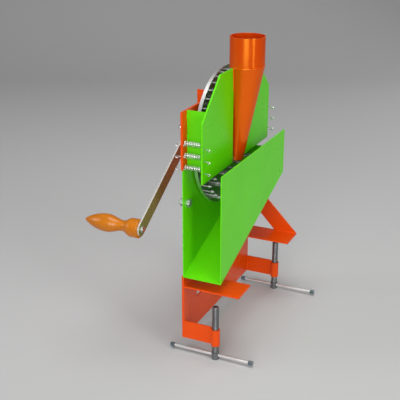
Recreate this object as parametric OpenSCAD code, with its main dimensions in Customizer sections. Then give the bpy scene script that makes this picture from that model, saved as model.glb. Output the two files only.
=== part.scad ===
// Hand-cranked corn sheller that clamps onto a table edge.
// A toothed steel disc turns behind a spring-loaded plate with a feed hopper. Bare cobs and
// kernels drop into the sloping chute. +Z is up, the feed side faces -Y, the crank side +Y.

/* [Carrying plate] */
// Thickness of the carrying plate
plate_t = 4; // [3:0.5:5]
// Height of the plate's lower edge above the ends of the clamp screws
plate_z = 28.7; // [24:0.1:36]
// Height of the plate from its lower edge to its upper edge
plate_h = 418.8; // [410:0.2:430]
// Width of each leg beside the window
leg_w = 54; // [44:1:64]
// Height of the strip that joins the legs at the bottom
strip_h = 56.4; // [40:0.2:60]
// Height of the window between the legs
window_h = 66; // [50:1:80]
// Depth of the relief that keeps the plate's near edge behind the chute
edge_relief = 5; // [3:0.5:6]

/* [Table clamps] */
// Height of the top of the shelves, which rest on the table, above the screw ends
shelf_z = 131.9; // [126:0.1:140]
// Depth of the shelves
shelf_d = 104.8; // [90:0.2:120]
// Thickness of the shelves
shelf_t = 3; // [2:0.5:4]
// Thickness of the arms that carry the threaded bosses
arm_t = 3; // [2:0.5:4]
// Height of the arms
arm_h = 33.3; // [31:0.1:38]
// Distance from the carrying plate to the axis of the clamp screws
screw_y = 61; // [50:1:75]
// Outer diameter of the threaded bosses
boss_d = 16; // [15:0.5:18]
// Length of the threaded bosses
boss_l = 31.7; // [26:0.1:34]
// Distance of the bosses' lower end below the arms' lower edge
boss_drop = 1; // [0.5:0.5:2]
// Diameter of the clamp screws
screw_d = 12; // [10:1:12]
// Clearance of the screws in their bosses, on the radius
screw_fit = 0.05; // [0.02:0.01:0.1]
// Height of the upper end of the clamp screws
screw_top = 104.1; // [98:0.1:110]
// Chamfer at the upper end of the clamp screws
screw_chamfer = 1.5; // [1:0.1:2]
// Diameter of the screw heads
head_d = 14; // [13:0.5:16]
// Height of the screw heads
head_h = 13; // [11:0.5:14]
// Diameter of the tommy bars
bar_d = 6; // [5:0.5:6.5]
// Length of the tommy bars over their caps
bar_l = 160; // [140:1:170]
// Height of the axis of the tommy bars
bar_z = 7.6; // [6.5:0.1:7.8]
// Clearance of the bars in the screw heads, on the radius
bar_fit = 0.1; // [0.05:0.01:0.15]
// Diameter of the bar caps
cap_d = 8; // [7.5:0.5:10]
// Length of the bar caps
cap_l = 8; // [6:0.5:12]
// How far the near bar is pushed towards the crank side
near_bar_shift = 8.4; // [-40:0.1:40]
// How far the far bar is pushed towards the feed side
far_bar_shift = 7.4; // [-40:0.1:40]

/* [Brace] */
// Thickness of the brace
brace_t = 3; // [2:0.5:4]
// Length of the brace's foot on the shelf
brace_foot = 46; // [36:1:56]
// Height above the shelf at which the brace's lower edge meets the plate
brace_low = 62; // [50:1:75]
// Height above the shelf at which the brace's upper edge meets the plate
brace_high = 108; // [96:1:120]

/* [Chute] */
// Thickness of the chute's sheet
chute_t = 2; // [1.5:0.5:2.5]
// Width of the chute over its walls
chute_w = 72.3; // [68:0.1:80]
// Distance of the chute's far end from the carrying plate's far edge
chute_inset = 3.6; // [3.2:0.1:5]
// Distance by which the chute's outlet stands out past the carrying plate's near edge
chute_over = 3.3; // [0:0.1:6]
// Height of the lower edge of the outlet
chute_z = 150.8; // [144:0.1:156]
// Rise of the chute's floor from the outlet to the far end
chute_rise = 109.7; // [90:0.1:115]
// Height of the chute's walls above the outlet's lower edge
chute_h = 196.6; // [190:0.2:200]
// Height of the chute's far end wall
chute_end_h = 47.5; // [30:0.5:60]
// Diameter of the chute's bolts
bolt_d = 8; // [6:1:8]
// Distance of the bolts from the carrying plate's edges
bolt_edge = 14; // [12:1:20]
// Height of the bolts above the outlet's lower edge
bolt_z = 134; // [126:1:150]
// Length of the bolts' thread behind the carrying plate
bolt_out = 10; // [8:0.5:14]
// Clearance of the bolts in their holes, on the radius
bolt_fit = 0.2; // [0.1:0.05:0.4]

/* [Shelling disc] */
// Diameter of the disc
disc_d = 250; // [238:1:254]
// Thickness of the disc without its teeth
disc_t = 6; // [5:0.5:8]
// Gap between the carrying plate and the back of the disc
disc_gap = 5; // [4.5:0.5:6]
// Height of the disc's axis above the chute's upper edge
shaft_rise = 24.6; // [24:0.1:30]
// Distance by which the teeth stand out of the disc
tooth_h = 16; // [8:0.5:17]
// Diameter of the teeth's shanks
tooth_d = 4; // [3:0.5:5]
// Diameter of the teeth's heads
tooth_head_d = 7.5; // [6:0.5:9]
// Length of the teeth's tapered heads
tooth_head_h = 5; // [3:0.5:7]
// Diameter of the flat tip of the teeth
tooth_tip_d = 2; // [1:0.5:3]
// Distance of the outer ring of teeth from the rim
tooth_edge = 8; // [6:0.5:12]
// Number of rings of teeth
tooth_rings = 4; // [2:1:4]
// Distance between two rings of teeth
ring_pitch = 22; // [16:1:23]
// Distance between two teeth of one ring
tooth_pitch = 18; // [14:0.5:24]
// Number of screws that hold the disc on its hub
hub_screw_n = 4; // [3:1:6]
// Diameter of the hub's flange
hub_d = 44; // [42:1:46]
// Thickness of the hub's flange
hub_t = 3; // [2:0.5:3.5]
// Diameter of the hub's boss
hub_boss_d = 24; // [22:1:26]
// Diameter of the screws of the hub
hub_screw_d = 5; // [4:0.5:5]

/* [Shaft and bearings] */
// Diameter of the shaft
shaft_d = 16; // [14:1:18]
// Clearance of the shaft in its bearings, on the radius
shaft_fit = 0.05; // [0.02:0.01:0.1]
// Axial play between turning and standing faces
play = 0.3; // [0.2:0.05:0.5]
// Diameter of the bearings' seats
bearing_d = 30; // [26:1:34]
// Diameter of the bearings' flanges
bearing_flange_d = 40; // [38:1:46]
// Thickness of the bearings' flanges
bearing_flange_t = 4; // [3:0.5:5]
// Length of the rear bearing's nose behind its flange
bearing_nose = 8; // [4:0.5:10]
// Width of the bearing channel
channel_w = 56; // [50:1:64]
// Depth of the bearing channel
channel_d = 28; // [24:1:34]
// Thickness of the bearing channel's sheet
channel_t = 3; // [2:0.5:4]
// Height of the bearing channel
channel_h = 166; // [150:1:180]
// Height of the channel's upper end above the carrying plate
channel_over = 7.5; // [4:0.5:20]
// Height of the channel's web above the shaft, its flanges being longer
web_up = 43; // [30:1:70]

/* [Crank] */
// Distance from the shaft to the handle
crank_l = 232.4; // [215:0.2:240]
// Angle of the crank below the level at rest
crank_angle = 32.3; // [20:0.1:60]
// Width of the crank arm
crank_w = 24; // [20:1:26]
// Thickness of the crank arm
crank_t = 3; // [3:0.5:6]
// Length of the spacer between the rear bearing and the arm
spacer_l = 12.5; // [8:0.1:16]
// Outer diameter of the spacer
spacer_d = 24; // [20:1:28]
// Diameter of the thread on which the arm is clamped
crank_thread_d = 12; // [10:1:12]
// Thickness of the washer below the cap nut
washer_t = 2; // [1.5:0.5:3]
// Diameter of the washer below the cap nut
washer_d = 22; // [20:1:24]
// Width of the cap nut across its flats
nut_af = 18; // [17:0.5:19]
// Height of the hexagon of the cap nut
nut_h = 10; // [8:0.5:12]

/* [Handle] */
// Length of the wooden grip
grip_l = 108.7; // [95:0.1:120]
// Diameter of the grip's base
grip_base_d = 33; // [28:0.5:36]
// Length of the grip's base
grip_base_l = 15; // [10:0.5:18]
// Diameter of the grip's neck
grip_neck_d = 19; // [16:0.5:22]
// Distance from the grip's base face to its neck
grip_neck_y = 33; // [28:0.5:38]
// Largest diameter of the grip
grip_bulge_d = 31.6; // [26:0.2:36]
// Distance from the grip's base face to its largest diameter
grip_bulge_y = 64; // [56:0.5:72]
// Diameter of the handle's pin
pin_d = 8; // [6:0.5:9]
// Length of the pin inside the grip
pin_l = 60; // [40:1:75]
// Clearance of the pin in the arm, on the radius
pin_fit = 0.08; // [0.02:0.01:0.1]
// Diameter of the pin's head
pin_head_d = 10; // [9.5:0.5:13]
// Height of the pin's head
pin_head_h = 2.5; // [2:0.5:6]
// Diameter of the washer below the pin's head
pin_washer_d = 13; // [11:0.5:18]
// Thickness of the washer below the pin's head
pin_washer_t = 1; // [1:0.25:2]

/* [Pressure plate] */
// Thickness of the pressure plate
press_t = 3; // [2:0.5:4]
// Distance from the carrying plate to the back of the pressure plate
press_gap = 33; // [30:0.5:36]
// Height of the plate's lower edge below the shaft
press_down = 45.1; // [40:0.1:50]
// Height of the lower end of the sloping shoulders above the shaft
press_shoulder = 59.1; // [52:0.1:70]
// Height of the plate's upper edge above the shaft
press_up = 126.4; // [116:0.2:140]
// Width of the plate's upper edge
press_top_w = 160; // [140:2:180]
// Distance of the pressure plate's edges inside the carrying plate's edges
press_inset = 0; // [0:0.5:4]
// Gap between the disc's rim and the side shields
shield_gap = 9.7; // [7:0.1:14]
// Thickness of the side shields
shield_t = 1.5; // [1:0.5:2.5]

/* [Hopper] */
// Outer diameter of the hopper's tube
hopper_d = 62; // [56:1:70]
// Thickness of the hopper's sheet
hopper_t = 1.5; // [1:0.25:2]
// Height of the hopper's tube
hopper_h = 52.4; // [40:0.2:70]
// Distance from the carrying plate to the straight back line of the hopper
hopper_back = 19.6; // [16:0.1:24]
// Outer diameter of the cone at its lower end
cone_low_d = 26; // [22:1:32]
// Height of the cone's lower end above the pressure plate's lower edge
cone_low_z = 0.5; // [0:0.5:10]
// Width of the slot in the pressure plate between its two halves
slot_w = 49; // [46:1:54]

/* [Springs] */
// Number of springs on each side
spring_n = 3; // [2:1:3]
// Outer diameter of the springs
spring_d = 10.5; // [9:0.5:11]
// Diameter of the springs' wire
wire_d = 1.4; // [1:0.1:1.6]
// Number of turns of each spring, an odd number
spring_turns = 7; // [5:2:9]
// Height of the lowest spring below the shaft
spring_down = 19; // [16:0.5:19]
// Distance between neighbouring springs
spring_pitch = 21; // [17:0.5:24]
// Distance of the springs from the side shields
spring_side = 13.8; // [11:0.1:16]
// Distance of the springs from the pressure plate's edges
spring_edge = 3; // [2.5:0.1:6]
// Clearance between the coils and the plates
coil_gap = 1; // [0.5:0.5:3]
// Distance of the springs' holes in the carrying plate below the coils' axis
frame_hook_drop = 3.2; // [2:0.1:4]
// Distance of the springs' holes in the pressure plate below the coils' axis
press_hook_drop = 6.5; // [4:0.1:8]
// Distance by which the hooks stand out of the plates
hook_out = 11; // [8:0.5:13]
// Length of the hooks' turned back ends
hook_back = 4; // [2:0.5:5]
// Clearance of the wire in its holes, on the radius
wire_fit = 0.4; // [0.3:0.05:0.6]

/* [Hidden] */
$fn = 64;

// Paint and metal colours
orange = [0.87, 0.30, 0.05];
green = [0.36, 0.75, 0.18];
steel = [0.70, 0.71, 0.72];
chrome = [0.86, 0.87, 0.88];
wood = [0.80, 0.42, 0.12];
brass = [0.72, 0.60, 0.35];

// Heights
plate_top = plate_z + plate_h;
strip_top = plate_z + strip_h;
chute_top = chute_z + chute_h;
shaft_z = chute_top + shaft_rise;
press_bottom = shaft_z - press_down;
press_top = shaft_z + press_up;
hopper_top = press_top + hopper_h;
channel_top = plate_top + channel_over;
shelf_under = shelf_z - shelf_t;
boss_z = plate_z - boss_drop;

// Positions along the plate
shield_x = disc_d / 2 + shield_gap + shield_t;
spring_x = shield_x + spring_side;
press_w = 2 * (spring_x + spring_edge);
half_w = press_w / 2 + press_inset;
plate_w = 2 * half_w;
screw_x = half_w - arm_t / 2;
chute_far = half_w - chute_inset;
chute_near = -(half_w + chute_over);
chute_l = chute_far - chute_near;
bolt_x = half_w - bolt_edge;

// Positions across the plate, the feed side being negative
disc_front = -(disc_gap + disc_t);
cone_back = -hopper_back;
press_back = -press_gap;
press_front = press_back - press_t;
channel_back = plate_t + channel_d;
bearing_end = channel_back + bearing_flange_t + bearing_nose;
arm_front = bearing_end + play + spacer_l;
arm_back = arm_front + crank_t;
grip_base = arm_back + play;
grip_tip = grip_base + grip_l;
nut_face = arm_back + washer_t;

// Sheet thickness of the sloping floor measured upwards
floor_slope = chute_rise / chute_l;
floor_up = chute_t * sqrt(1 + floor_slope * floor_slope);

// Puts the origin in the plane of the table's top, at its edge, midway between the clamps
module place() {
    translate([0, 0, -shelf_under]) children();
}

// A sheet drawn in the upright plane along X, from y0 towards the feed side
module sheet_xz(y0, t) {
    translate([0, y0, 0]) rotate([90, 0, 0]) linear_extrude(t) children();
}

// A sheet drawn in the upright plane across X, from x0 towards +X
module sheet_yz(x0, t) {
    translate([x0, 0, 0]) rotate([90, 0, 90]) linear_extrude(t) children();
}

// A round bar along Y from y0 to y1
module rod_y(d, y0, y1) {
    translate([0, y1, 0]) rotate([90, 0, 0]) cylinder(d = d, h = y1 - y0);
}

// A hexagon bar along Y from y0 to y1, measured across its flats
module hex_y(af, y0, y1) {
    translate([0, y1, 0]) rotate([90, 0, 0]) cylinder(d = af / cos(30), h = y1 - y0, $fn = 6);
}

// ---- carrying plate and its bearings ----

module plate_outline() {
    difference() {
        translate([-half_w, plate_z]) square([plate_w, plate_h]);
        translate([leg_w - half_w, strip_top]) square([plate_w - 2 * leg_w, window_h]);
        translate([-half_w - 1, chute_z]) square([edge_relief + 1, chute_h]);
    }
}

function spring_heights() = [for (i = [0 : spring_n - 1]) shaft_z - spring_down + i * spring_pitch];

module spring_holes(drop, y0, y1) {
    for (z = spring_heights())
        translate([0, 0, z - drop]) rod_y(wire_d + 2 * wire_fit, y0, y1);
}

module frame_plate() {
    color(orange) place() difference() {
        sheet_xz(plate_t, plate_t) plate_outline();
        translate([0, 0, shaft_z]) rod_y(bearing_d, -1, plate_t + 1);
        for (s = [-1, 1]) {
            translate([s * spring_x, 0, 0]) spring_holes(frame_hook_drop, -1, plate_t + 1);
            translate([s * bolt_x, 0, chute_z + bolt_z])
                rod_y(bolt_d + 2 * bolt_fit, -1, plate_t + 1);
        }
    }
}

// A folded channel stands on the back of the plate and carries the rear bearing
module bearing_channel() {
    color(orange) place() difference() {
        translate([-channel_w / 2, plate_t, channel_top - channel_h])
            cube([channel_w, channel_d, channel_h]);
        translate([channel_t - channel_w / 2, plate_t - 1, channel_top - channel_h - 1])
            cube([channel_w - 2 * channel_t, channel_d - channel_t + 1, channel_h + 2]);
        translate([channel_t - channel_w / 2, plate_t, shaft_z + web_up])
            cube([channel_w - 2 * channel_t, channel_d + 1, channel_h]);
        translate([0, 0, shaft_z]) rod_y(bearing_d, plate_t, channel_back + 1);
    }
}

module front_bearing() {
    color(brass) place() translate([0, 0, shaft_z]) difference() {
        union() {
            rod_y(bearing_d, 0, plate_t);
            rod_y(bearing_flange_d, plate_t, plate_t + bearing_flange_t);
        }
        rod_y(shaft_d + 2 * shaft_fit, -1, plate_t + bearing_flange_t + 1);
    }
}

module rear_bearing() {
    color(brass) place() translate([0, 0, shaft_z]) difference() {
        union() {
            rod_y(bearing_d, channel_back - channel_t, bearing_end);
            rod_y(bearing_flange_d, channel_back, channel_back + bearing_flange_t);
        }
        rod_y(shaft_d + 2 * shaft_fit, plate_t, bearing_end + 1);
    }
}

// ---- table clamps ----

module shelf(x0) {
    color(orange) place() translate([x0, -shelf_d, shelf_under]) cube([leg_w, shelf_d, shelf_t]);
}

module near_shelf() { shelf(-half_w); }
module far_shelf() { shelf(half_w - leg_w); }

// The arm ends in a hollow that fits round the boss
module clamp_arm(s) {
    color(orange) place() difference() {
        translate([s * screw_x - arm_t / 2, -screw_y, plate_z]) cube([arm_t, screw_y, arm_h]);
        translate([s * screw_x, -screw_y, plate_z - 1]) cylinder(d = boss_d, h = arm_h + 2);
    }
}

module near_arm() { clamp_arm(-1); }
module far_arm() { clamp_arm(1); }

module boss(s) {
    color(orange) place() translate([s * screw_x, -screw_y, boss_z]) difference() {
        cylinder(d = boss_d, h = boss_l);
        translate([0, 0, -1]) cylinder(d = screw_d + 2 * screw_fit, h = boss_l + 2);
    }
}

module near_boss() { boss(-1); }
module far_boss() { boss(1); }

module far_brace() {
    foot_y = -shelf_d;
    color(orange) place() sheet_yz(half_w - brace_t, brace_t) polygon([
        [foot_y + brace_foot, shelf_z], [foot_y, shelf_z],
        [0, shelf_z + brace_high], [0, shelf_z + brace_low]]);
}

module clamp_screw(s) {
    body_h = screw_top - head_h - screw_chamfer;
    color(chrome) place() translate([s * screw_x, -screw_y, head_h]) {
        cylinder(d = screw_d, h = body_h);
        translate([0, 0, body_h])
            cylinder(d1 = screw_d, d2 = screw_d - 2 * screw_chamfer, h = screw_chamfer);
    }
}

module near_screw() { clamp_screw(-1); }
module far_screw() { clamp_screw(1); }

module screw_head(s) {
    color(steel) place() translate([s * screw_x, -screw_y, 0]) difference() {
        cylinder(d = head_d, h = head_h);
        translate([0, 0, bar_z]) rod_y(bar_d + 2 * bar_fit, -head_d, head_d);
    }
}

module near_screw_head() { screw_head(-1); }
module far_screw_head() { screw_head(1); }

module tommy_bar(s, shift) {
    color(chrome) place() translate([s * screw_x, shift - screw_y, bar_z])
        rod_y(bar_d, cap_l - bar_l / 2, bar_l / 2 - cap_l);
}

module near_tommy_bar() { tommy_bar(-1, near_bar_shift); }
module far_tommy_bar() { tommy_bar(1, -far_bar_shift); }

module bar_caps(s, shift) {
    color(steel) place() translate([s * screw_x, shift - screw_y, bar_z]) {
        rod_y(cap_d, -bar_l / 2, cap_l - bar_l / 2);
        rod_y(cap_d, bar_l / 2 - cap_l, bar_l / 2);
    }
}

module near_bar_caps() { bar_caps(-1, near_bar_shift); }
module far_bar_caps() { bar_caps(1, -far_bar_shift); }

// ---- chute ----

function floor_z(x) = chute_z + floor_slope * (x - chute_near);

module wall_outline() {
    polygon([[chute_near, chute_z], [chute_far, chute_z + chute_rise],
        [chute_far, chute_top], [chute_near, chute_top]]);
}

module chute_back() {
    color(green) place() difference() {
        sheet_xz(0, chute_t) wall_outline();
        for (s = [-1, 1])
            translate([s * bolt_x, 0, chute_z + bolt_z])
                rod_y(bolt_d + 2 * bolt_fit, -chute_t - 1, 1);
    }
}

module chute_front() {
    color(green) place() sheet_xz(chute_t - chute_w, chute_t) wall_outline();
}

module chute_floor() {
    color(green) place() sheet_xz(-chute_t, chute_w - 2 * chute_t) polygon([
        [chute_near, chute_z], [chute_far, chute_z + chute_rise],
        [chute_far, chute_z + chute_rise + floor_up], [chute_near, chute_z + floor_up]]);
}

module chute_end() {
    end_x = chute_far - chute_t;
    color(green) place() sheet_xz(-chute_t, chute_w - 2 * chute_t) polygon([
        [end_x, floor_z(end_x) + floor_up], [chute_far, floor_z(chute_far) + floor_up],
        [chute_far, chute_z + chute_rise + chute_end_h],
        [end_x, chute_z + chute_rise + chute_end_h]]);
}

module chute_bolts() {
    head = 0.65 * bolt_d;
    color(steel) place() for (s = [-1, 1]) translate([s * bolt_x, 0, chute_z + bolt_z]) {
        hex_y(1.6 * bolt_d, -chute_t - head, -chute_t);
        rod_y(bolt_d, -chute_t, plate_t + bolt_out);
    }
}

module chute_nuts() {
    nut = 0.8 * bolt_d;
    color(steel) place() for (s = [-1, 1])
        translate([s * bolt_x, 0, chute_z + bolt_z]) difference() {
            hex_y(1.6 * bolt_d, plate_t, plate_t + nut);
            rod_y(bolt_d, plate_t - 1, plate_t + nut + 1);
        }
}

module shield(x0) {
    color(green) place() translate([x0, press_back + play, chute_top])
        cube([shield_t, press_gap - play, plate_top - chute_top]);
}

module near_shield() { shield(-shield_x); }
module far_shield() { shield(shield_x - shield_t); }

// ---- shelling disc ----

// A stud, riveted into the disc, with a head that tapers to a blunt tip
module tooth() {
    translate([0, 0, -disc_t / 2]) cylinder(d = tooth_d, h = disc_t / 2 + tooth_h - tooth_head_h, $fn = 24);
    translate([0, 0, tooth_h - tooth_head_h])
        cylinder(d1 = tooth_head_d, d2 = tooth_tip_d, h = tooth_head_h, $fn = 24);
}

module tooth_ring(k) {
    r = disc_d / 2 - tooth_edge - k * ring_pitch;
    n = floor(2 * PI * r / tooth_pitch);
    for (i = [0 : n - 1])
        rotate([0, 0, (i + k / 2) * 360 / n]) translate([0, -r, 0]) tooth();
}

function hub_screw_r() = (hub_d / 2 + hub_boss_d / 2) / 2;

// Places the screws of the hub round the shaft's axis
module at_hub_screws() {
    for (i = [0 : hub_screw_n - 1])
        translate([0, 0, shaft_z]) rotate([0, (i + 0.5) * 360 / hub_screw_n, 0])
            translate([hub_screw_r(), 0, 0]) children();
}

// Countersunk screw with its head flush in the disc's face
module hub_screw() {
    sink = hub_screw_d / 2;
    translate([0, disc_front + sink, 0]) rotate([90, 0, 0])
        cylinder(d1 = hub_screw_d, d2 = 2 * hub_screw_d, h = sink);
    rod_y(hub_screw_d, disc_front + sink, hub_t - disc_gap);
}

module shelling_disc() {
    color(steel) place() difference() {
        translate([0, disc_front, shaft_z]) rotate([90, 0, 0]) {
            translate([0, 0, -disc_t]) cylinder(d = disc_d, h = disc_t, $fn = 128);
            for (k = [0 : tooth_rings - 1]) tooth_ring(k);
        }
        translate([0, 0, shaft_z]) rod_y(shaft_d, disc_front - 1, 0);
        at_hub_screws() hub_screw();
    }
}

module disc_hub() {
    color(steel) place() difference() {
        translate([0, 0, shaft_z]) {
            rod_y(hub_d, -disc_gap, hub_t - disc_gap);
            rod_y(hub_boss_d, hub_t - disc_gap, -play);
        }
        translate([0, 0, shaft_z]) rod_y(shaft_d, -disc_gap - 1, 1);
        at_hub_screws() rod_y(hub_screw_d, -disc_gap - 1, hub_t - disc_gap + 1);
    }
}

module hub_screws() {
    color(steel) place() at_hub_screws() hub_screw();
}

// ---- crank ----

module crank_shaft() {
    color(steel) place() translate([0, 0, shaft_z]) {
        rod_y(shaft_d, disc_front + play, arm_front);
        rod_y(crank_thread_d, arm_front, nut_face + nut_h + washer_t);
    }
}

module shaft_spacer() {
    color(steel) place() translate([0, 0, shaft_z]) difference() {
        rod_y(spacer_d, arm_front - spacer_l, arm_front);
        rod_y(shaft_d, arm_front - spacer_l - 1, arm_front + 1);
    }
}

// Turns what is drawn along -X down to the crank's angle at rest
module at_crank() {
    translate([0, 0, shaft_z]) rotate([0, -crank_angle, 0]) children();
}

module crank_arm() {
    color(steel) place() at_crank() difference() {
        sheet_xz(arm_back, crank_t) union() {
            circle(d = crank_w);
            translate([-crank_l, 0]) circle(d = crank_w);
            translate([-crank_l, -crank_w / 2]) square([crank_l, crank_w]);
        }
        rod_y(crank_thread_d, arm_front - 1, arm_back + 1);
        translate([-crank_l, 0, 0]) rod_y(pin_d + 2 * pin_fit, arm_front - 1, arm_back + 1);
    }
}

module crank_washer() {
    color(steel) place() translate([0, 0, shaft_z]) difference() {
        rod_y(washer_d, arm_back, nut_face);
        rod_y(crank_thread_d, arm_back - 1, nut_face + 1);
    }
}

module crank_nut() {
    dome_r = nut_af / 2 - 0.5;
    dome_y = nut_face + nut_h + washer_t;
    color(chrome) place() translate([0, 0, shaft_z]) difference() {
        union() {
            hex_y(nut_af, nut_face, nut_face + nut_h);
            rod_y(2 * dome_r, nut_face + nut_h, dome_y);
            translate([0, dome_y, 0]) sphere(r = dome_r);
        }
        rod_y(crank_thread_d, nut_face - 1, dome_y);
    }
}

// Radius of the grip at a distance u from its base face
function swell(u, u0, r0, u1, r1) = r0 + (r1 - r0) * (1 - cos(180 * (u - u0) / (u1 - u0))) / 2;
function grip_r(u) =
    u < grip_base_l ? grip_base_d / 2 :
    u < grip_neck_y ? swell(u, grip_base_l, grip_base_d / 2, grip_neck_y, grip_neck_d / 2) :
    u < grip_bulge_y ? swell(u, grip_neck_y, grip_neck_d / 2, grip_bulge_y, grip_bulge_d / 2) :
    grip_bulge_d / 2 * pow(cos(90 * (u - grip_bulge_y) / (grip_l - grip_bulge_y)), 0.7);

module handle_grip() {
    steps = 36;
    edge = 1.5;
    turned = [for (i = [1 : steps - 1]) let (u = grip_base_l + (grip_l - grip_base_l) * i / steps)
        [grip_r(u), u]];
    profile = concat([[0, 0], [grip_base_d / 2 - edge, 0], [grip_base_d / 2, edge],
        [grip_base_d / 2, grip_base_l]], turned, [[0, grip_l]]);
    color(wood) place() at_crank() translate([-crank_l, grip_base, 0]) difference() {
        rotate([-90, 0, 0]) rotate_extrude() polygon(profile);
        rod_y(pin_d, -1, pin_l);
    }
}

module handle_pin() {
    head_y = arm_front - play - pin_washer_t;
    color(chrome) place() at_crank() translate([-crank_l, 0, 0]) {
        rod_y(pin_d, head_y, grip_base + pin_l);
        rod_y(pin_head_d, head_y - pin_head_h, head_y);
    }
}

module pin_washer() {
    back = arm_front - play;
    color(steel) place() at_crank() translate([-crank_l, 0, 0]) difference() {
        rod_y(pin_washer_d, back - pin_washer_t, back);
        rod_y(pin_d, back - pin_washer_t - 1, back + 1);
    }
}

// ---- pressure plate and hopper ----

// The plate's two halves stand beside the slot in which the hopper is welded
module half_press_plate(s) {
    color(green) place() difference() {
        sheet_xz(press_back, press_t) scale([s, 1]) polygon([
            [slot_w / 2, press_bottom], [press_w / 2, press_bottom],
            [press_w / 2, shaft_z + press_shoulder], [press_top_w / 2, press_top],
            [slot_w / 2, press_top]]);
        cone_solid(0);
        translate([s * spring_x, 0, 0])
            spring_holes(press_hook_drop, press_front - 1, press_back + 1);
    }
}

module near_press_plate() { half_press_plate(-1); }
module far_press_plate() { half_press_plate(1); }

// Slope of the cone's front line. The back line is upright, so the axis leans by half of it
cone_bottom = press_bottom + cone_low_z;
cone_slope = atan((hopper_d - cone_low_d) / (press_top - cone_bottom));
cone_lean = cone_slope / 2;
apex_z = cone_bottom - cone_low_d / tan(cone_slope);

// A leaning cone with an upright back line, drawn smaller by the given sheet thickness
module cone_solid(inset) {
    start = (cone_bottom - apex_z) / 2;
    end = (press_top - apex_z) * 1.1;
    shrink = inset / cos(cone_lean);
    translate([0, cone_back, apex_z]) rotate([cone_lean, 0, 0]) translate([0, 0, start])
        cylinder(r1 = start * tan(cone_lean) - shrink, r2 = end * tan(cone_lean) - shrink,
            h = end - start);
}

module hopper_cone() {
    color(orange) place() difference() {
        intersection() {
            cone_solid(0);
            translate([-hopper_d, -2 * hopper_d, cone_bottom])
                cube([2 * hopper_d, 2 * hopper_d + press_back, press_top - cone_bottom]);
        }
        cone_solid(hopper_t);
    }
}

module hopper_tube() {
    color(orange) place() translate([0, cone_back - hopper_d / 2, press_top]) difference() {
        cylinder(d = hopper_d, h = hopper_h);
        translate([0, 0, -1]) cylinder(d = hopper_d - 2 * hopper_t, h = hopper_h + 2);
    }
}

// ---- springs ----

coil_r = (spring_d - wire_d) / 2;
coil_start = coil_gap + wire_d / 2;
coil_l = press_gap - 2 * coil_start;
bend_r = wire_d;
coil_steps = 10;

// Half of a spring's wire, from the middle of the coil to the free end of the hook.
// The wire leaves the coil at its underside, runs through its hole and turns back.
function half_wire(drop) = concat(
    [for (i = [0 : spring_turns * coil_steps / 2]) let (a = 360 * i / coil_steps)
        [coil_r * cos(a), coil_r * sin(a), coil_l * i / (spring_turns * coil_steps)]],
    wire_end(drop));

function wire_end(drop) = let (face = coil_l / 2 + coil_start, top = face + plate_t + hook_out,
        step = drop - coil_r) [
    [-coil_r - 0.35 * step, -0.2 * coil_r, face - 0.65 * coil_start],
    [-coil_r - 0.85 * step, -0.1 * coil_r, face - 0.1 * coil_start],
    [-drop, 0, face + 0.3],
    [-drop, 0, top - bend_r],
    [-drop - bend_r * 0.29, 0, top - bend_r * 0.29],
    [-drop - bend_r, 0, top],
    [-drop - bend_r * 1.71, 0, top - bend_r * 0.29],
    [-drop - bend_r * 2, 0, top - bend_r],
    [-drop - bend_r * 2.4, 0, top - bend_r - hook_back]];

// Turns a point by half a turn round X, so that the second half continues the first
function flipped(p) = [p[0], -p[1], -p[2]];
function reversed(v) = [for (i = [len(v) - 1 : -1 : 0]) v[i]];
function unit(v) = v / norm(v);

function spring_path() = let (back = half_wire(frame_hook_drop))
    concat([for (p = reversed([for (i = [1 : len(back) - 1]) back[i]])) flipped(p)],
        half_wire(press_hook_drop));

// Carries a cross direction along the path without twisting it
function carried(t, u) = unit(u - (u * t) * t);
function frames(tan, i, u) = i >= len(tan) ? [] : let (v = carried(tan[i], u))
    concat([v], frames(tan, i + 1, v));

module wire(path, d, sides) {
    n = len(path);
    tan = [for (i = [0 : n - 1]) unit(path[min(i + 1, n - 1)] - path[max(i - 1, 0)])];
    cross_dirs = frames(tan, 0, [1, 0.3, 0.2]);
    points = [for (i = [0 : n - 1]) let (u = cross_dirs[i], w = cross(tan[i], u))
        for (k = [0 : sides - 1]) path[i] + d / 2 * (cos(360 * k / sides) * u
            + sin(360 * k / sides) * w)];
    sheath = [for (i = [0 : n - 2]) for (k = [0 : sides - 1]) for (half = [0, 1])
        let (m = (k + 1) % sides, a = i * sides, b = a + sides)
        half == 0 ? [a + k, b + k, b + m] : [a + k, b + m, a + m]];
    polyhedron(points, concat(sheath, [[for (k = [0 : sides - 1]) k]],
        [[for (k = [sides - 1 : -1 : 0]) (n - 1) * sides + k]]), convexity = 10);
}

module springs(s) {
    color(chrome) place() for (z = spring_heights())
        translate([s * spring_x, -press_gap / 2, z]) rotate([90, 0, 0]) rotate([0, 0, 90])
            wire(spring_path(), wire_d, 6);
}

module near_springs() { springs(-1); }
module far_springs() { springs(1); }

frame_plate();
bearing_channel();
front_bearing();
rear_bearing();
near_shelf();
far_shelf();
near_arm();
far_arm();
near_boss();
far_boss();
far_brace();
chute_back();
chute_front();
chute_floor();
chute_end();
near_shield();
far_shield();
chute_bolts();
chute_nuts();
shelling_disc();
disc_hub();
hub_screws();
crank_shaft();
shaft_spacer();
crank_arm();
crank_washer();
crank_nut();
handle_grip();
handle_pin();
pin_washer();
near_press_plate();
far_press_plate();
hopper_tube();
hopper_cone();
near_springs();
far_springs();
near_screw();
near_screw_head();
near_tommy_bar();
near_bar_caps();
far_screw();
far_screw_head();
far_tommy_bar();
far_bar_caps();
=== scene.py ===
import math

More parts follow.
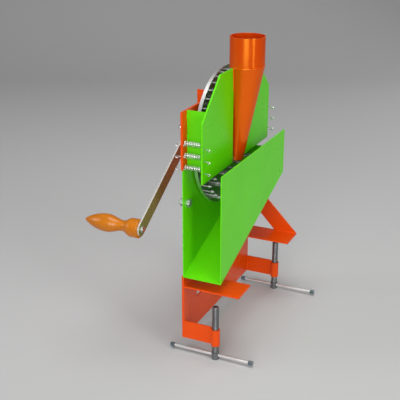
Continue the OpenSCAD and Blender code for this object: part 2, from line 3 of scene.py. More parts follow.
import bpy
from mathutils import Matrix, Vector


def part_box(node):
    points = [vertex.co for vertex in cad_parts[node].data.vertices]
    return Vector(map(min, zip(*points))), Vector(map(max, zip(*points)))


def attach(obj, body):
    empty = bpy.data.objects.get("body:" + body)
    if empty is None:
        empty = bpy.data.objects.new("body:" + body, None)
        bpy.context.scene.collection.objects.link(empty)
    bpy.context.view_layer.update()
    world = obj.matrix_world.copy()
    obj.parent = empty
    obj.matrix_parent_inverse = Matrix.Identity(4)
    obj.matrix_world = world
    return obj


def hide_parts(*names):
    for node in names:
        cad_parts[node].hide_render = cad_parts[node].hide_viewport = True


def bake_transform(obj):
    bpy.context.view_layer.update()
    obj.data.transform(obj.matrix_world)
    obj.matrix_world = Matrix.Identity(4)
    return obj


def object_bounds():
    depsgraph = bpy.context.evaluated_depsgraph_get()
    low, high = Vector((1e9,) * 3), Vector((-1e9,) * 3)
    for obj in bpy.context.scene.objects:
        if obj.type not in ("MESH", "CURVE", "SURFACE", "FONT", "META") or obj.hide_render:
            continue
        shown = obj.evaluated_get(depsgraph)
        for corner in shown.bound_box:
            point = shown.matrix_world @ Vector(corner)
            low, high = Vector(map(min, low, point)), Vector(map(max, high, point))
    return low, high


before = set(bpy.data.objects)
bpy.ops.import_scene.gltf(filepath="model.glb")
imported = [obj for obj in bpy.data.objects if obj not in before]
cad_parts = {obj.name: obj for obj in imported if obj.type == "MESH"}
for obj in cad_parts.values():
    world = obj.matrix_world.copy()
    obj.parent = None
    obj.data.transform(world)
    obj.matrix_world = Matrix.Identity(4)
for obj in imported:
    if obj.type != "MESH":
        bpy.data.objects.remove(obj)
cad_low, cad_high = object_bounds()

# Camera
# The photograph's view: from the open end of the chute, a little above the machine, through a
# long lens. Angles are in degrees, places in metres.
camera_place = (-1.32840, -0.57680, 0.67730)
camera_azimuth = 24.891
camera_dip = 21.334
camera_lens = 74.78
camera_sensor = 36
camera_reach = 60

camera = bpy.data.objects.new("camera", bpy.data.cameras.new("camera"))
bpy.context.scene.collection.objects.link(camera)
camera.location = camera_place
camera.rotation_euler = (math.radians(90 - camera_dip), 0, math.radians(camera_azimuth - 90))
camera.data.lens = camera_lens
camera.data.sensor_width = camera_sensor
camera.data.clip_end = camera_reach
bpy.context.scene.camera = camera

# Room
# A pale sheet of paper that curves up into a wall behind the machine, lit by large soft lamps.
# The machine stands on the ends of its clamp screws, as in the photograph.
paper_half = 6.0
paper_flat = 2.0
paper_bend = 1.5
paper_top = 5.0
bend_steps = 16
paper_dark = 0.41
paper_light = 0.44
room_light = 0.26
narrow_beam = 90


def new_piece(name, vertices, faces):
    mesh = bpy.data.meshes.new(name)
    mesh.from_pydata(vertices, [], faces)
    mesh.update()
    mesh.polygons.foreach_set("use_smooth", [True] * len(mesh.polygons))
    piece = bpy.data.objects.new(name, mesh)
    bpy.context.scene.collection.objects.link(piece)
    return piece


def new_material(name):
    material = bpy.data.materials.new(name)
    material.use_nodes = True
    tree = material.node_tree
    return material, tree, tree.nodes["Principled BSDF"]


def spread(tree, value, from_low, from_high, low, high):
    """Stretches a value's range from_low to from_high over the range low to high."""
    between = tree.nodes.new("ShaderNodeMapRange")
    between.inputs["From Min"].default_value = from_low
    between.inputs["From Max"].default_value = from_high
    between.inputs["To Min"].default_value = low
    between.inputs["To Max"].default_value = high
    tree.links.new(value, between.inputs["Value"])
    return between.outputs["Result"]


profile = [(-paper_half, 0.0), (paper_flat, 0.0)]
for i in range(1, bend_steps + 1):
    a = math.radians(90 * i / bend_steps)
    profile.append((paper_flat + paper_bend * math.sin(a), paper_bend * (1 - math.cos(a))))
profile.append((paper_flat + paper_bend, paper_top))
view_angle = math.radians(camera_azimuth)
away = Vector((math.cos(view_angle), math.sin(view_angle)))
across = Vector((-away.y, away.x))
vertices = []
for distance, up in profile:
    for side in (-paper_half, paper_half):
        spot = away * distance + across * side
        vertices.append((spot.x, spot.y, up + cad_low.z))
faces = [(2 * i, 2 * i + 1, 2 * i + 3, 2 * i + 2) for i in range(len(profile) - 1)]
paper = new_piece("paper", vertices, faces)
paper_finish, tree, shader = new_material("paper")
fibres = tree.nodes.new("ShaderNodeTexNoise")
fibres.inputs["Scale"].default_value = 3.0
tree.links.new(spread(tree, fibres.outputs["Fac"], 0, 1, paper_dark, paper_light),
               shader.inputs["Base Color"])
shader.inputs["Roughness"].default_value = 0.85
paper.data.materials.append(paper_finish)

world = bpy.data.worlds.new("studio")
bpy.context.scene.world = world
world.use_nodes = True
background = world.node_tree.nodes["Background"]
background.inputs["Color"].default_value = (1, 1, 1, 1)
background.inputs["Strength"].default_value = room_light


def soft_lamp(name, place, aim_height, size, power, beam=180):
    """A rectangular lamp aimed at the machine's axis. A narrow beam keeps the floor below it plain."""
    lamp = bpy.data.objects.new(name, bpy.data.lights.new(name, "AREA"))
    lamp.data.shape = "RECTANGLE"
    lamp.data.size, lamp.data.size_y = size
    lamp.data.energy = power
    lamp.data.spread = math.radians(beam)
    lamp.location = place
    aim = Vector((0, 0, aim_height)) - Vector(place)
    lamp.rotation_euler = aim.to_track_quat("-Z", "Y").to_euler()
    bpy.context.scene.collection.objects.link(lamp)


soft_lamp("lamp_outlet_side", (-2.50, -0.65, 0.78), 0.20, (1.4, 1.6), 13.2, narrow_beam)
soft_lamp("lamp_above", (-0.3, -0.3, 2.4), 0.10, (1.5, 1.5), 40)
soft_lamp("lamp_feed_side", (-0.9, -2.3, 1.1), 0.15, (0.9, 1.6), 5.3, narrow_beam)
soft_lamp("lamp_strip", (-1.10, -2.00, 0.46), 0.30, (0.05, 1.1), 1.1, narrow_beam)
soft_lamp("lamp_behind", (2.3, -0.7, 1.0), 0.30, (0.8, 1.2), 9)
soft_lamp("lamp_crank_side", (-1.2, 2.2, 1.1), 0.20, (1.0, 1.3), 16)

bpy.context.scene.view_settings.view_transform = "Standard"

# Carrying plate and bearing channel
# The upright plate is cut from 4 mm steel with a window at the table's height. The folded
# channel is welded on its back. Both are sprayed with a glossy orange machine paint.
orange = (0.66, 0.062, 0.001)
orange_thin = (0.60, 0.054, 0.001)
plate_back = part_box("frame_plate")[1].y
channel_low, channel_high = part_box("bearing_channel")
channel_welds = (("upper", 0.296, 0.3180), ("middle", 0.215, 0.268),
                 ("lower", channel_low.z + 0.002, channel_low.z + 0.030))
channel_bead = 0.0016
bead_lift = 0.0002


def coordinates(tree, stretch=(1, 1, 1)):
    """A piece's own coordinates in metres, so that its finish moves with it."""
    source = tree.nodes.new("ShaderNodeTexCoord")
    mapping = tree.nodes.new("ShaderNodeMapping")
    mapping.inputs["Scale"].default_value = stretch
    tree.links.new(source.outputs["Object"], mapping.inputs["Vector"])
    return mapping.outputs["Vector"]


def noise(tree, vector, scale, detail=3.0, roughness=0.5):
    """Soft random spots, about scale of them to the metre."""
    texture = tree.nodes.new("ShaderNodeTexNoise")
    texture.inputs["Scale"].default_value = scale
    texture.inputs["Detail"].default_value = detail
    texture.inputs["Roughness"].default_value = roughness
    tree.links.new(vector, texture.inputs["Vector"])
    return texture.outputs["Fac"]


def mixed(tree, amount, first, second):
    """Goes from the first colour to the second. Each is three numbers or another node's output."""
    mix = tree.nodes.new("ShaderNodeMix")
    mix.data_type = "RGBA"
    tree.links.new(amount, mix.inputs[0])
    for socket, colour in ((mix.inputs[6], first), (mix.inputs[7], second)):
        if isinstance(colour, tuple):
            socket.default_value = (*colour, 1)
        else:
            tree.links.new(colour, socket)
    return mix.outputs[2]


def bumped(tree, height, strength, depth, before=None):
    bump = tree.nodes.new("ShaderNodeBump")
    bump.inputs["Strength"].default_value = strength
    bump.inputs["Distance"].default_value = depth
    tree.links.new(height, bump.inputs["Height"])
    if before is not None:
        tree.links.new(before, bump.inputs["Normal"])
    return bump.outputs["Normal"]


def rounded_edges(tree, radius):
    """Makes a sharp edge catch the light as if it were broken with a file."""
    edge = tree.nodes.new("ShaderNodeBevel")
    edge.samples = 4
    edge.inputs["Radius"].default_value = radius
    return edge.outputs["Normal"]


def sprayed_paint(name, body, thin, gloss=0.25, sheen=(1, 1, 1), index=1.45, blur=0.27):
    """Gloss paint over steel: one coat, a little thinner in places, with faint waves and peel."""
    thin_spots, dull_spots, wave_spots, peel_spots = 9, 40, 30, 700
    material, tree, shader = new_material(name)
    place = coordinates(tree)
    coat = spread(tree, noise(tree, place, thin_spots), 0.30, 0.70, 0, 1)
    tree.links.new(mixed(tree, coat, body, thin), shader.inputs["Base Color"])
    tree.links.new(spread(tree, noise(tree, place, dull_spots), 0.3, 0.7, blur, blur + 0.06),
                   shader.inputs["Roughness"])
    waves = noise(tree, place, wave_spots, 2)
    peel = noise(tree, place, peel_spots, 2)
    wavy = bumped(tree, waves, 0.015, 0.0010, rounded_edges(tree, 0.0006))
    tree.links.new(bumped(tree, peel, 0.03, 0.0002, wavy), shader.inputs["Normal"])
    shader.inputs["Specular IOR Level"].default_value = gloss
    shader.inputs["Specular Tint"].default_value = (*sheen, 1)
    shader.inputs["IOR"].default_value = index
    return material


def finish_nodes(material, *names):
    for name in names:
        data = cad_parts[name].data
        data.materials.clear()
        data.materials.append(material)


def finish_piece(piece, material, slot, body, *stands_for):
    piece.data.materials.append(material)
    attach(piece, body)
    if stands_for:
        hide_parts(*stands_for)


def swept(path, radii, sides, closed=False):
    """Vertices and faces of a round bar along a path, with a radius for each of its points."""
    n = len(path)
    path = [Vector(p) for p in path]
    vertices, faces = [], []
    cross = None
    for i in range(n):
        if closed:
            ahead, behind = path[(i + 1) % n], path[(i - 1) % n]
        else:
            ahead, behind = path[min(i + 1, n - 1)], path[max(i - 1, 0)]
        tangent = (ahead - behind).normalized()
        if cross is None:
            cross = tangent.orthogonal()
        cross = (cross - tangent * cross.dot(tangent)).normalized()
        other = tangent.cross(cross)
        for k in range(sides):
            a = 2 * math.pi * k / sides
            vertices.append(path[i] + radii[i] * (math.cos(a) * cross + math.sin(a) * other))
    for i in range(n if closed else n - 1):
        a, b = i * sides, ((i + 1) % n) * sides
        for k in range(sides):
            m = (k + 1) % sides
            faces.append((a + k, a + m, b + m, b + k))
    if not closed:
        faces.append(tuple(range(sides))[::-1])
        faces.append(tuple((n - 1) * sides + k for k in range(sides)))
    return vertices, faces


def weld(name, points, size, paint, slot, body, closed=False):
    """A weld bead along a line of points: small overlapping ripples, painted over."""
    step, ripple_turn, drift_turn, drift_start = 0.0007, 1.05, 0.37, size * 9e3
    path = []
    points = [Vector(p) for p in points]
    if closed:
        points.append(points[0])
    for a, b in zip(points, points[1:]):
        count = max(1, round((b - a).length / step))
        path += [a + (b - a) * i / count for i in range(count)]
    if not closed:
        path.append(points[-1])
    n = len(path)
    radii = []
    for i in range(n):
        ripple = 0.86 + 0.14 * abs(math.sin(i * ripple_turn))
        drift = 0.05 * math.sin(i * drift_turn + drift_start)
        taper = 1.0 if closed else min(1.0, 0.35 + 0.30 * min(i, n - 1 - i))
        radii.append(size * (ripple + drift) * taper)
    finish_piece(new_piece(name, *swept(path, radii, 8, closed)), paint, slot, body)


orange_paint = sprayed_paint("orange_paint", orange, orange_thin)
finish_nodes(orange_paint, "frame_plate", "bearing_channel")
for side, s in (("near", -1), ("far", 1)):
    x, y = s * channel_high.x, plate_back + bead_lift
    for part, low, high in channel_welds:
        weld(side + "_channel_weld_" + part, [(x, y, low), (x, y, high)], channel_bead,
             orange_paint, "orange_paint", "stand")

# Bearings
# Two turned bronze bushes with flanges, pressed into the plate and into the channel, with an
# oiled, slightly stained face.
bronze_tone = (0.58, 0.38, 0.16)


def steel(name, tone, polish, grain, stretch):
    """Bare metal with fine marks drawn out along one direction, and darker smudges.
    polish is its lowest roughness, grain the number of marks to the metre."""
    smudges = 25
    material, tree, shader = new_material(name)
    marks = noise(tree, coordinates(tree, stretch), grain, 4, 0.6)
    smudge = spread(tree, noise(tree, coordinates(tree), smudges, 4), 0.3, 0.7, 0, 1)
    dark = tuple(0.84 * c for c in tone)
    tree.links.new(mixed(tree, smudge, tone, dark), shader.inputs["Base Color"])
    shader.inputs["Metallic"].default_value = 1.0
    tree.links.new(spread(tree, marks, 0.3, 0.7, polish, polish + 0.07), shader.inputs["Roughness"])
    tree.links.new(bumped(tree, marks, 0.04, 0.0001, rounded_edges(tree, 0.0003)),
                   shader.inputs["Normal"])
    return material


bronze = steel("bronze", bronze_tone, 0.30, 500, (1, 0.3, 1))
finish_nodes(bronze, "front_bearing", "rear_bearing")

# Shelves, arms, bosses and brace
# Two shelves rest on the table. Below them two arms carry thick-walled bosses with the thread of
# the clamp screws, and a brace holds the far shelf. All are welded on and painted orange.
shelf_low, shelf_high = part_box("far_shelf")
arm_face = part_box("far_arm")[0].x
brace_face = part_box("far_brace")[0].x
weld_margin = 0.003
arm_weld = (-0.0985, -0.0690)
boss_weld = (-0.0985, -0.0710)
boss_reach = 0.0078
slight_lift = 0.0001
brace_shelf_weld = (-0.1020, -0.0610)
brace_plate_weld = (0.0680, 0.1080)
shelf_bead = 0.0017
arm_bead = 0.0016
small_bead = 0.0014
boss_bead = 0.0013


def middle_of(node):
    low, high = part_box(node)
    return (low + high) / 2


finish_nodes(orange_paint, "near_shelf", "far_shelf", "near_arm", "far_arm", "near_boss",
             "far_boss", "far_brace")
for side, s in (("near", -1), ("far", 1)):
    inner, outer = s * (shelf_low.x + weld_margin), s * (shelf_high.x - weld_margin)
    for part, z, bead in (("_shelf_weld", shelf_high.z, shelf_bead),
                          ("_shelf_weld_below", shelf_low.z, small_bead)):
        weld(side + part, [(inner, -bead_lift, z), (outer, -bead_lift, z)], bead,
             orange_paint, "orange_paint", "stand")
    weld(side + "_arm_weld", [(s * arm_face, -bead_lift, z) for z in arm_weld], arm_bead,
         orange_paint, "orange_paint", "stand")
    beside_boss = (s * (arm_face + slight_lift), middle_of(side + "_screw_head").y + boss_reach)
    weld(side + "_boss_weld", [(*beside_boss, z) for z in boss_weld], boss_bead,
         orange_paint, "orange_paint", "stand")
weld("brace_weld_shelf", [(brace_face, y, shelf_high.z + slight_lift) for y in brace_shelf_weld],
     small_bead, orange_paint, "orange_paint", "stand")
weld("brace_weld_plate", [(brace_face, -bead_lift, z) for z in brace_plate_weld],
     small_bead, orange_paint, "orange_paint", "stand")

# Clamp screws
# Two M12 screws of grey steel with a rolled thread and a chamfered upper end. Each is turned by
# a tommy bar through its round head, and presses from below against the table.
screw_tone = (0.19, 0.195, 0.20)
head_tone = (0.26, 0.27, 0.28)
screw_radius = 0.006
screw_pitch = 0.00175
screw_thread_depth = 0.00045
screw_chamfer = 0.0012


def threaded(low, high, radius, pitch, depth, chamfer, around=36):
    """Vertices and faces of an upright threaded rod with a cone at its upper end."""
    rows = max(2, round((high - low) / pitch * 4))
    vertices, faces = [], []
    for i in range(rows + 1):
        z = low + (high - low) * i / rows
        for k in range(around):
            turn = k / around
            wave = (z / pitch - turn) % 1.0
            cut = depth * (1 - abs(2 * wave - 1))
            fade = min(1.0, (z - low) / (2 * pitch))
            r = min(radius - cut * fade, radius - chamfer + max(0.0, high - z))
            a = 2 * math.pi * turn
            vertices.append((r * math.cos(a), r * math.sin(a), z))
    for i in range(rows):
        a, b = i * around, (i + 1) * around
        for k in range(around):
            m = (k + 1) % around
            faces.append((a + k, a + m, b + m, b + k))
    faces.append(tuple(range(around))[::-1])
    faces.append(tuple(rows * around + k for k in range(around)))
    return vertices, faces


screw_steel = steel("screw_steel", screw_tone, 0.34, 300, (1, 1, 0.4))
head_steel = steel("head_steel", head_tone, 0.32, 300, (1, 1, 0.3))
for side in ("near", "far"):
    low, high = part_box(side + "_screw")
    axis = middle_of(side + "_screw_head")
    vertices, faces = threaded(low.z, high.z, screw_radius, screw_pitch, screw_thread_depth,
                               screw_chamfer)
    vertices = [(x + axis.x, y + axis.y, z) for x, y, z in vertices]
    rod = new_piece(side + "_threaded_rod", vertices, faces)
    finish_piece(rod, screw_steel, "chrome_steel", side + "_spindle", side + "_screw")
finish_nodes(head_steel, "near_screw_head", "far_screw_head")

# Tommy bars
# Bright drawn bars of 6 mm slide through the screw heads. Darker caps, pressed on both ends,
# keep them from falling out.
bar_tone = (0.86, 0.85, 0.85)
cap_tone = (0.22, 0.28, 0.32)
bar_steel = steel("bar_steel", bar_tone, 0.36, 300, (1, 0.15, 1))
finish_nodes(bar_steel, "near_tommy_bar", "far_tommy_bar")
cap_steel = steel("cap_steel", cap_tone, 0.24, 500, (1, 0.3, 1))
finish_nodes(cap_steel, "near_bar_caps", "far_bar_caps")

# Chute
# Folded from 2 mm sheet: two upright walls, a floor that slopes down to the open near end and a
# closed far end. The seams are welded, and it is sprayed grass green.
green = (0.105, 0.58, 0.002)
green_thin = (0.092, 0.53, 0.002)
chute_low, chute_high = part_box("chute_back")
front_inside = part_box("chute_front")[1].y
floor_rise = 0.1097
floor_top = 0.0021
seam_start = 0.004
seam_end = 0.003
corner_inset = 0.0021
corner_start = 0.002
corner_top = 0.046
seam_bead = 0.0009
green_paint = sprayed_paint("green_paint", green, green_thin)
finish_nodes(green_paint, "chute_back", "chute_front", "chute_floor", "chute_end")
floor_slope = floor_rise / (chute_high.x - chute_low.x)


def above_floor(x):
    return chute_low.z + floor_slope * (x - chute_low.x) + floor_top


for side, y in (("front", front_inside), ("back", chute_low.y)):
    ends = (chute_low.x + seam_start, chute_high.x - seam_end)
    weld("chute_" + side + "_seam", [(x, y, above_floor(x)) for x in ends], seam_bead,
         green_paint, "green_paint", "stand")
    corner = (chute_high.x - corner_inset, y)
    heights = (above_floor(chute_high.x) + corner_start, chute_low.z + floor_rise + corner_top)
    weld("chute_" + side + "_corner", [(*corner, z) for z in heights], seam_bead,
         green_paint, "green_paint", "stand")

# Chute bolts
# Two zinc-plated M8 bolts with their heads inside the chute hold it against the plate, with a
# nut behind the plate.
zinc_tone = (0.46, 0.52, 0.47)
bolt_low, bolt_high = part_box("chute_bolts")
nut_low, nut_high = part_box("chute_nuts")
bolt_flats = bolt_high.z - bolt_low.z
bolt_height = (bolt_low.z + bolt_high.z) / 2
bolt_x = bolt_high.x - bolt_flats / 2 / math.cos(math.radians(30))
bolt_head = chute_low.y - bolt_low.y
bolt_radius = 0.004
bolt_pitch = 0.00125
bolt_thread_depth = 0.0004
bolt_chamfer = 0.0008
zinc_steel = steel("zinc_steel", zinc_tone, 0.50, 300, (1, 1, 1))


def hexagon(flats, low, high, chamfered, around=72):
    """Rings of an upright hexagon whose corners are cut by a cone at the chamfered ends."""
    corner = flats / 2 / math.cos(math.radians(30))
    cut = 0.62 * (corner - flats / 2)
    cone_radius = flats / 2 + 0.12 * (corner - flats / 2)
    rings = []
    for z, is_cut in ((low, "low" in chamfered), (low + cut, False), (high - cut, False),
                      (high, "high" in chamfered)):
        ring = []
        for k in range(around):
            a = 2 * math.pi * k / around
            from_flat = (a % (math.pi / 3)) - math.pi / 6
            r = flats / 2 / math.cos(from_flat)
            if is_cut:
                r = min(r, cone_radius)
            ring.append((r * math.cos(a), r * math.sin(a), z))
        rings.append(ring)
    return rings


def ringed(rings):
    """Vertices and faces of a closed body through a stack of rings."""
    around = len(rings[0])
    vertices = [p for ring in rings for p in ring]
    faces = []
    for i in range(len(rings) - 1):
        a, b = i * around, (i + 1) * around
        for k in range(around):
            m = (k + 1) % around
            faces.append((a + k, a + m, b + m, b + k))
    faces.append(tuple(range(around))[::-1])
    faces.append(tuple((len(rings) - 1) * around + k for k in range(around)))
    return vertices, faces


def joined(*parts):
    vertices, faces = [], []
    for v, f in parts:
        start = len(vertices)
        vertices += v
        faces += [tuple(start + i for i in face) for face in f]
    return vertices, faces


def along_y(vertices, x, y, z):
    """Lays what is drawn upright down along +Y, with its foot at the given place."""
    return [(x + v[0], y + v[2], z - v[1]) for v in vertices]


def sharpened(piece, degrees=35):
    piece.data.set_sharp_from_angle(angle=math.radians(degrees))


for side, s in (("near", -1), ("far", 1)):
    head = ringed(hexagon(bolt_flats, 0.0, bolt_head, ("low",)))
    rod = threaded(bolt_head, bolt_high.y - bolt_low.y, bolt_radius, bolt_pitch,
                   bolt_thread_depth, bolt_chamfer, 28)
    vertices, faces = joined(head, rod)
    vertices = along_y(vertices, s * bolt_x, bolt_low.y, bolt_height)
    bolt = new_piece(side + "_chute_bolt", vertices, faces)
    sharpened(bolt)
    finish_piece(bolt, zinc_steel, "zinc_steel", "stand", "chute_bolts")
    vertices, faces = ringed(hexagon(bolt_flats, 0.0, nut_high.y - nut_low.y, ("low", "high")))
    vertices = along_y(vertices, s * bolt_x, nut_low.y, bolt_height)
    nut = new_piece(side + "_chute_nut", vertices, faces)
    sharpened(nut)
    finish_piece(nut, zinc_steel, "zinc_steel", "stand", "chute_nuts")

# Side shields
# Thin green strips of sheet on both sides of the disc keep the kernels in. Each is tacked to
# the carrying plate in three places.
shield_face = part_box("far_shield")[1].x
tack_heights = (("low", 0.232), ("middle", 0.268), ("high", 0.303))
tack_length = 0.009
tack_lift = 0.0003
tack_bead = 0.0012
finish_nodes(green_paint, "near_shield", "far_shield")
for side, s in (("near", -1), ("far", 1)):
    x, y = s * shield_face, -tack_lift
    for tack, z in tack_heights:
        weld(side + "_shield_tack_" + tack, [(x, y, z), (x, y, z + tack_length)], tack_bead,
             green_paint, "green_paint", "stand")

# Shelling disc
# A steel disc, faced on the lathe, with rings of riveted studs whose heads taper to blunt tips.
# Its rim is painted near white as a highlight. Four countersunk screws hold it on the hub.
face_tone = (0.40, 0.42, 0.40)
grime_tone = (0.28, 0.30, 0.28)
stud_tone = (0.40, 0.41, 0.41)
rim_highlight_tone = (0.95, 0.94, 0.92)
shaft_height = middle_of("crank_shaft").z
disc_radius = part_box("shelling_disc")[1].x
disc_thickness = 0.006
disc_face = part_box("shelling_disc")[1].y - disc_thickness
rim_inset = (0.0007, 0.0003)
stud_start = (0.0006, 0.0002)
lathe_marks = 900
disc_steel, tree, shader = new_material("disc_steel")


def vector_node(tree, operation, vector, other=(0, 0, 0)):
    """One step of arithmetic between a vector and three fixed numbers."""
    step = tree.nodes.new("ShaderNodeVectorMath")
    step.operation = operation
    tree.links.new(vector, step.inputs[0])
    step.inputs[1].default_value = other
    return step.outputs


def number_node(tree, operation, first, second=None):
    """One step of arithmetic on one or two numbers that other nodes give."""
    step = tree.nodes.new("ShaderNodeMath")
    step.operation = operation
    tree.links.new(first, step.inputs[0])
    if second is not None:
        tree.links.new(second, step.inputs[1])
    return step.outputs["Value"]


def split_axes(tree, vector):
    split = tree.nodes.new("ShaderNodeSeparateXYZ")
    tree.links.new(vector, split.inputs["Vector"])
    return split.outputs


def from_axis(tree, vector):
    """Distance from the piece's Y axis."""
    flat = vector_node(tree, "MULTIPLY", vector, (1, 0, 1))["Vector"]
    return vector_node(tree, "LENGTH", flat)["Value"]


centred = vector_node(tree, "SUBTRACT", coordinates(tree), (0, 0, shaft_height))["Vector"]
radius = from_axis(tree, centred)
turning = tree.nodes.new("ShaderNodeTexNoise")
turning.noise_dimensions = "1D"
turning.inputs["Scale"].default_value = lathe_marks
tree.links.new(radius, turning.inputs["W"])
marks = turning.outputs["Fac"]
rim = spread(tree, radius, disc_radius - rim_inset[0], disc_radius - rim_inset[1], 0, 1)
depth = split_axes(tree, centred)["Y"]
stud = spread(tree, depth, disc_face - stud_start[0], disc_face - stud_start[1], 1, 0)
grime = spread(tree, noise(tree, coordinates(tree), 30, 4), 0.3, 0.7, 0, 1)
dull = mixed(tree, grime, face_tone, grime_tone)
# Painted highlight: the rim's edge takes a near-white tone, the stud heads the stud tone.
bright = mixed(tree, rim, stud_tone, rim_highlight_tone)
tree.links.new(mixed(tree, number_node(tree, "MAXIMUM", rim, stud), dull, bright),
               shader.inputs["Base Color"])
shader.inputs["Metallic"].default_value = 1.0
polish = tree.nodes.new("ShaderNodeMix")
tree.links.new(rim, polish.inputs[0])
tree.links.new(spread(tree, marks, 0.3, 0.7, 0.32, 0.44), polish.inputs[2])
polish.inputs[3].default_value = 0.36
tree.links.new(polish.outputs[0], shader.inputs["Roughness"])
tree.links.new(bumped(tree, marks, 0.15, 0.0001, rounded_edges(tree, 0.0003)),
               shader.inputs["Normal"])
finish_nodes(disc_steel, "shelling_disc")
finish_nodes(zinc_steel, "hub_screws")

# Shaft, hub and spacer
# Turned from bright bar. The hub's flange is screwed to the disc, and its boss is fixed on the
# shaft.
shaft_tone = (0.52, 0.53, 0.54)
shaft_steel = steel("shaft_steel", shaft_tone, 0.26, 900, (1, 0.2, 1))
finish_nodes(shaft_steel, "disc_hub", "crank_shaft", "shaft_spacer")

# Crank arm
# Flat bar with round ends and bright ground edges. Its faces are brown at the shaft, a painted
# reflection of the orange plate, and turn to olive towards the grip.
hub_reflection_tones = ((0.42, 0.22, 0.10), (0.35, 0.185, 0.085))
grip_tones = ((0.23, 0.27, 0.085), (0.195, 0.23, 0.07))
edge_tone = (0.60, 0.59, 0.55)
brown_until = 0.06
olive_from = 0.17
reflection_tinted_steel, tree, shader = new_material("reflection_tinted_steel")
reach = vector_node(tree, "DISTANCE", coordinates(tree), (0, 0, shaft_height))["Value"]
stain = noise(tree, coordinates(tree), 22, 4)
# The brown at the shaft is a painted reflection of the orange plate; it fades to olive towards the
# grip.
faces_tone = mixed(tree, spread(tree, reach, brown_until, olive_from, 0, 1),
                   mixed(tree, stain, *hub_reflection_tones), mixed(tree, stain, *grip_tones))
geometry = tree.nodes.new("ShaderNodeNewGeometry")
facing = number_node(tree, "ABSOLUTE", split_axes(tree, geometry.outputs["True Normal"])["Y"])
tree.links.new(mixed(tree, spread(tree, facing, 0.4, 0.6, 0, 1), edge_tone, faces_tone),
               shader.inputs["Base Color"])
shader.inputs["Metallic"].default_value = 0.45
ground = noise(tree, coordinates(tree, (1, 0.1, 1)), 800)
tree.links.new(spread(tree, ground, 0.3, 0.7, 0.25, 0.31), shader.inputs["Roughness"])
tree.links.new(bumped(tree, ground, 0.03, 0.0001, rounded_edges(tree, 0.0004)),
               shader.inputs["Normal"])
finish_nodes(reflection_tinted_steel, "crank_arm")

# Cap nut and washer
# A chromed cap nut on a plain washer clamps the arm on the shaft. Its dome is turned on the
# hexagon.
chrome_tone = (0.88, 0.88, 0.88)
cap_low, cap_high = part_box("crank_nut")
cap_flats = cap_high.z - cap_low.z
hexagon_height = 0.010
neck = 0.0002
dome_foot = 0.012
dome_radius = cap_flats / 2 - 0.0005
dome_steps = 12
chrome_steel = steel("chrome_steel", chrome_tone, 0.24, 400, (1, 1, 0.2))


def circle(r, z, around=72):
    return [(r * math.cos(2 * math.pi * k / around), r * math.sin(2 * math.pi * k / around), z)
            for k in range(around)]


rings = hexagon(cap_flats, 0.0, hexagon_height, ("low", "high"))
rings.append(circle(dome_radius, hexagon_height + neck))
for i in range(dome_steps):
    a = math.radians(90 * i / dome_steps)
    rings.append(circle(dome_radius * math.cos(a), dome_foot + dome_radius * math.sin(a)))
vertices, faces = ringed(rings)
cap_nut = new_piece("cap_nut", along_y(vertices, 0, cap_low.y, shaft_height), faces)
sharpened(cap_nut)
finish_piece(cap_nut, chrome_steel, "chrome_steel", "rotor", "crank_nut")
finish_nodes(zinc_steel, "crank_washer")

# Grip and its pin
# A turned beech grip, stained warm brown and varnished, turns with its steel pin, whose head and
# washer hold it on the arm.
wood_tones = ((0.47, 0.145, 0.004), (0.40, 0.116, 0.003))
grip_low, grip_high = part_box("handle_grip")
grip_length = grip_high.y - grip_low.y
pin = middle_of("handle_pin")
base_radius, base_end, base_round = 0.0165, 0.015, 0.0015
neck_radius, neck_place = 0.0095, 0.033
bulge_radius, bulge_place = 0.0158, 0.064
grip_steps = 240
grip_tip = 0.00005
varnished_wood, tree, shader = new_material("varnished_wood")
along = coordinates(tree, (1, 0.07, 1))
grain = spread(tree, noise(tree, along, 140, 5, 0.65), 0.32, 0.68, 0, 1)
pores = noise(tree, along, 900)
tree.links.new(mixed(tree, grain, *wood_tones), shader.inputs["Base Color"])
tree.links.new(bumped(tree, pores, 0.10, 0.0002), shader.inputs["Normal"])
shader.inputs["Roughness"].default_value = 0.27
shader.inputs["Specular IOR Level"].default_value = 0.30
shader.inputs["Coat Weight"].default_value = 0.08
shader.inputs["Coat Roughness"].default_value = 0.10


def swell(u, u0, r0, u1, r1):
    """A smooth change from the radius r0 at u0 to the radius r1 at u1."""
    return r0 + (r1 - r0) * (1 - math.cos(math.pi * (u - u0) / (u1 - u0))) / 2


def grip_radius(u):
    """The grip's radius at a distance u from its foot at the arm."""
    if u < base_round:
        return base_radius - base_round + math.sqrt(base_round ** 2 - (base_round - u) ** 2)
    if u < base_end:
        return base_radius
    if u < neck_place:
        return swell(u, base_end, base_radius, neck_place, neck_radius)
    if u < bulge_place:
        return swell(u, neck_place, neck_radius, bulge_place, bulge_radius)
    share = (u - bulge_place) / (grip_length - bulge_place)
    return bulge_radius * math.cos(math.pi / 2 * share) ** 0.7


stations = [grip_length * i / grip_steps for i in range(grip_steps)] + [grip_length - grip_tip]
vertices, faces = ringed([circle(grip_radius(u), u, 64) for u in stations])
grip = new_piece("turned_grip", along_y(vertices, pin.x, grip_low.y, pin.z), faces)
sharpened(grip, 50)
finish_piece(grip, varnished_wood, "varnished_wood", "handle", "handle_grip")
finish_nodes(chrome_steel, "handle_pin")
finish_nodes(zinc_steel, "pin_washer")

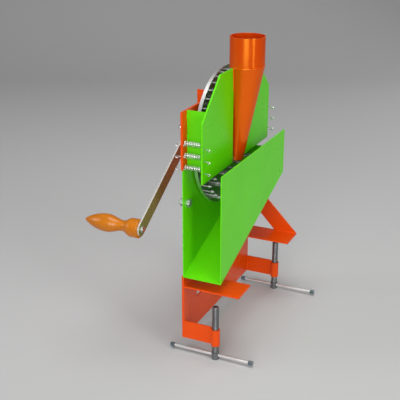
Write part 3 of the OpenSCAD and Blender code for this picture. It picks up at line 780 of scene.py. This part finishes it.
# Pressure plate and hopper
# The green plate is cut in two halves beside a slot. The hopper, a rolled cone with a short tube
# on top, is welded between them and painted orange. Its open back feeds the cobs to the disc.
hopper_orange = (0.58, 0.040, 0.001)
hopper_thin = (0.53, 0.034, 0.001)
hopper_sheen = (1.0, 0.46, 0.04)
cone_low, cone_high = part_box("hopper_cone")
press_low, press_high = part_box("near_press_plate")
tube_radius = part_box("hopper_tube")[1].x
tube_middle = middle_of("hopper_tube").y
cone_foot_radius = 0.013
hopper_weld = (0.76, 0.995)
hopper_weld_steps = 8
hopper_bead = 0.0013
tube_bead = 0.0008
tube_weld_points = 60
tube_weld_sink = 0.995
finish_nodes(green_paint, "near_press_plate", "far_press_plate")
hopper_paint = sprayed_paint("hopper_paint", hopper_orange, hopper_thin, 1.0, hopper_sheen, 2.10,
                             0.18)
finish_nodes(hopper_paint, "hopper_tube", "hopper_cone")


def seam_point(share, s):
    """Where the cone's outside meets the plate's front face, a share of the way up the cone."""
    r = cone_foot_radius + (tube_radius - cone_foot_radius) * share
    behind = r + press_low.y - tube_middle - tube_radius
    x = math.sqrt(max(0.0, r * r - behind ** 2))
    return (s * x, press_low.y, cone_low.z + (cone_high.z - cone_low.z) * share)


for side, s in (("near", -1), ("far", 1)):
    first, last = hopper_weld
    shares = [first + (last - first) * i / hopper_weld_steps for i in range(hopper_weld_steps + 1)]
    weld(side + "_hopper_weld", [seam_point(share, s) for share in shares], hopper_bead,
         hopper_paint, "orange_paint", "presser")
ring = [(x, tube_middle + y, z)
        for x, y, z in circle(tube_radius * tube_weld_sink, cone_high.z, tube_weld_points)]
weld("tube_weld", ring, tube_bead, hopper_paint, "orange_paint", "presser", closed=True)

# Springs
# Six chromed tension springs pull the pressure plate towards the carrying plate. The ends of
# their wire run through holes in both plates and are bent back to hooks.
painted_shade_inside = (0.02, 0.02, 0.018)
wire_tones = ((0.84, 0.84, 0.83), (0.74, 0.74, 0.73))
spring_x = middle_of("far_springs").x
lowest_spring = shaft_height - 0.019
spring_pitch = 0.021
spring_gap = -press_high.y
wire_radius = 0.0007
coil_radius = 0.00455
coil_turns = 7
coil_steps = 24
coil_start = 0.0017
frame_drop = 0.0032
press_drop = 0.0065
hook_reach = 0.015
hook_back = 0.004
hook_steps = 8
spring_chrome, tree, shader = new_material("spring_chrome")
# Painted shade: the half of the wire that faces the coil's axis is coloured near black.
outside = spread(tree, from_axis(tree, coordinates(tree)), coil_radius - 0.0001,
                 coil_radius + 0.0003, 0, 1)
drawn = noise(tree, coordinates(tree), 900)
tree.links.new(mixed(tree, outside, painted_shade_inside, mixed(tree, drawn, *wire_tones)),
               shader.inputs["Base Color"])
shader.inputs["Metallic"].default_value = 1.0
tree.links.new(spread(tree, drawn, 0.3, 0.7, 0.19, 0.24), shader.inputs["Roughness"])
tree.links.new(bumped(tree, drawn, 0.03, 0.0001), shader.inputs["Normal"])


def half_spring(drop):
    """The wire's centre line from the coil's middle to a hook's end, the coil along +Z."""
    length = spring_gap - 2 * coil_start
    half = []
    for i in range(coil_turns * coil_steps // 2 + 1):
        a = 2 * math.pi * i / coil_steps
        half.append((coil_radius * math.cos(a), coil_radius * math.sin(a),
                     length * i / (coil_turns * coil_steps)))
    face = length / 2 + coil_start
    step = drop - coil_radius
    bend = 2 * wire_radius
    turn = face + hook_reach - bend
    # Two points lead the wire from the coil to the hook's straight shank.
    half += [(-coil_radius - 0.35 * step, -0.2 * coil_radius, face - 0.65 * coil_start),
             (-coil_radius - 0.85 * step, -0.1 * coil_radius, face - 0.1 * coil_start),
             (-drop, 0, face + 0.0003), (-drop, 0, turn - 0.0002)]
    for i in range(hook_steps + 1):
        a = math.pi * i / hook_steps
        half.append((-drop - bend * (1 - math.cos(a)), 0, turn + bend * math.sin(a)))
    half.append((-drop - 2.4 * bend, 0, turn - hook_back))
    return half


for side, s in (("near", -1), ("far", 1)):
    for k, place in enumerate(("lower", "middle", "upper")):
        z = lowest_spring + k * spring_pitch
        back = [(p[0], -p[1], -p[2]) for p in half_spring(frame_drop)[:0:-1]]
        path = [(-p[1], -spring_gap / 2 - p[2], p[0]) for p in back + half_spring(press_drop)]
        spring = new_piece(side + "_spring_" + place, *swept(path, [wire_radius] * len(path), 10))
        spring.location = (s * spring_x, 0, z)
        spring.data.materials.append(spring_chrome)
        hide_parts(side + "_springs")
        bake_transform(spring)
